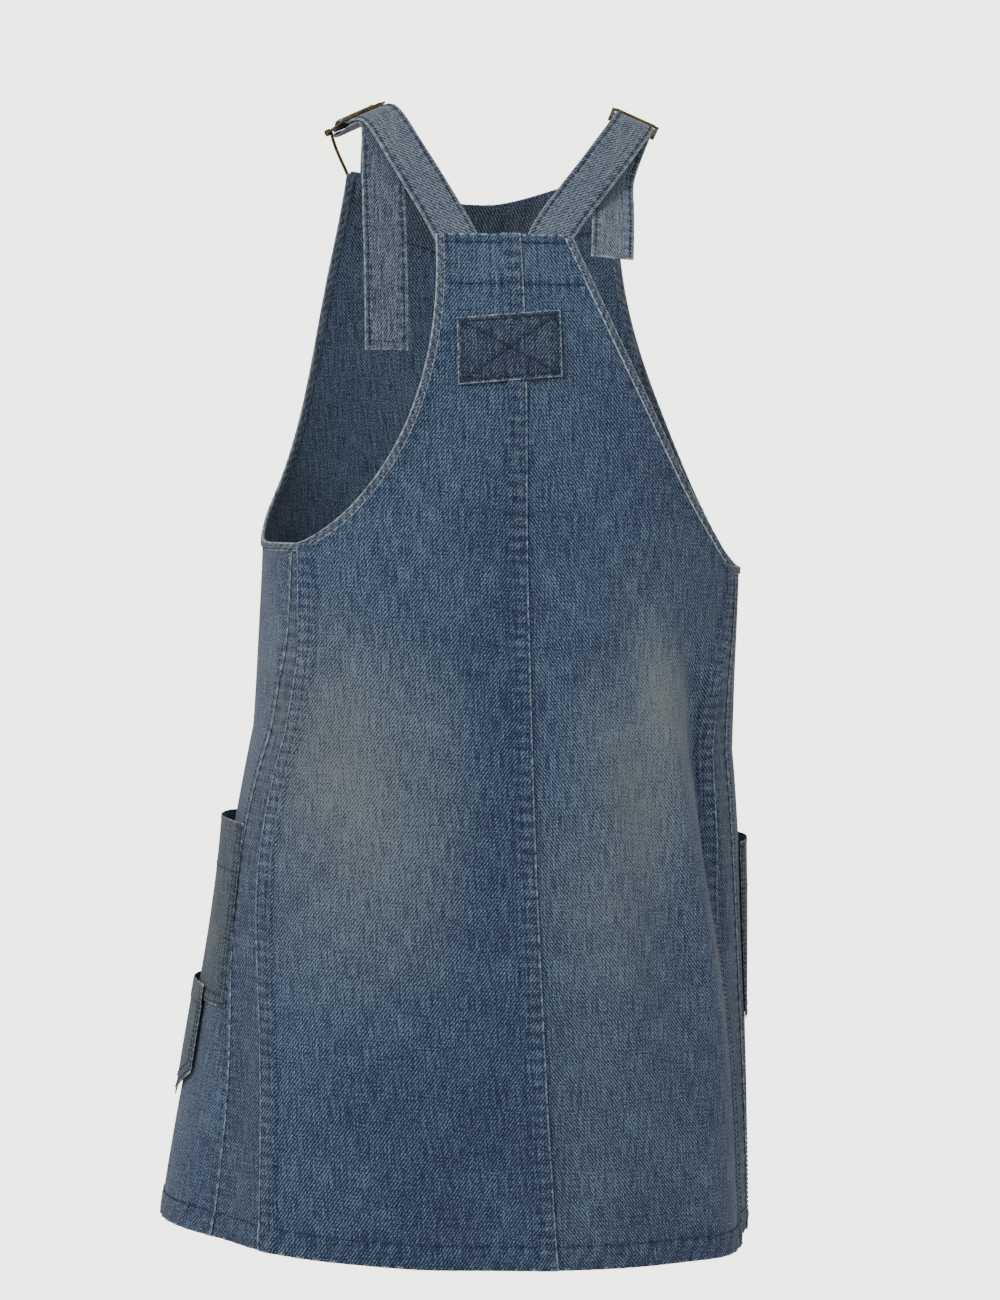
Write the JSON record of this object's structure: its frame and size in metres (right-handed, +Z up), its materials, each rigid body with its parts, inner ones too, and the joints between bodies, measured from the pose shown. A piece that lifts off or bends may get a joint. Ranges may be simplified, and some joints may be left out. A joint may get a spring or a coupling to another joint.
{
  "type": "pinafore dress",
  "caption": "Short sleeveless A-line denim pinafore with over-the-shoulder dungaree straps, wire hooks on turning bib buttons, a stitched back patch and side pockets.",
  "frame": {"origin": "the shoulder line, on the centre plane, where the straps cross the shoulders", "axes": "+Z up, -Y the way the wearer faces, +X to the wearer's left"},
  "size_m": [0.4541, 0.3172, 0.8641],
  "materials": {
    "panel_denim": "washed twill with faded areas",
    "strap_denim": "double denim, edge stitched",
    "binding_denim": "roped, worn edge",
    "pocket_denim": "washed twill",
    "dark_denim": "less faded twill",
    "brass": "antique, rubbed"
  },
  "bodies": {
    "dress": {"back_left_panel": "panel_denim", "back_patch": "dark_denim", "back_right_panel": "panel_denim", "bib_facing": "dark_denim", "front_left_panel": "panel_denim", "front_right_panel": "panel_denim", "left_armhole_binding": "binding_denim", "left_button_tack": "brass", "left_pocket": "pocket_denim", "left_slide": "brass", "left_strap": "strap_denim", "left_strap_fold": "strap_denim", "right_armhole_binding": "binding_denim", "right_button_tack": "brass", "right_pocket": "pocket_denim", "right_slide": "brass", "right_strap": "strap_denim", "right_strap_fold": "strap_denim", "side_left_panel": "panel_denim", "side_right_panel": "panel_denim", "small_pocket": "pocket_denim", "yoke_facing": "dark_denim"},
    "left_hook_wire": {"left_hook": "brass"},
    "right_hook_wire": {"right_hook": "brass"},
    "left_cap": {"left_button_cap": "brass"},
    "right_cap": {"right_button_cap": "brass"},
    "left_tail": {"left_strap_tail": "strap_denim"},
    "right_tail": {"right_strap_tail": "strap_denim"}
  },
  "joints": [
    {"name": "left_hook_hinge", "type": "hinge", "parent": "dress", "child": "left_hook_wire", "pos_m": [0.10749, -0.02353, -0.00995], "axis": [-0.8398, -0.3342, 0.4279], "range_deg": [-0.15, 0.2]},
    {"name": "left_button_turn", "type": "hinge", "parent": "dress", "child": "left_cap", "pos_m": [0.09505, -0.05499, -0.05895], "axis": [0.5011, -0.7805, 0.3738], "continuous": true},
    {"name": "left_tail_swing", "type": "hinge", "parent": "dress", "child": "left_tail", "pos_m": [0.088, 0.066, -0.088], "axis": [1, -0.0024, 0.0092], "range_deg": [0, 60]},
    {"name": "right_hook_hinge", "type": "hinge", "parent": "dress", "child": "right_hook_wire", "pos_m": [-0.11474, -0.02649, -0.00692], "axis": [-0.9079, 0.1107, -0.4042], "range_deg": [-2, 0.2]},
    {"name": "right_button_turn", "type": "hinge", "parent": "dress", "child": "right_cap", "pos_m": [-0.09505, -0.05499, -0.05895], "axis": [-0.2765, -0.8831, 0.3791], "continuous": true},
    {"name": "right_tail_swing", "type": "hinge", "parent": "dress", "child": "right_tail", "pos_m": [-0.085, 0.057, -0.078], "axis": [0.9947, -0.051, 0.0893], "range_deg": [0, 6]}
  ]
}
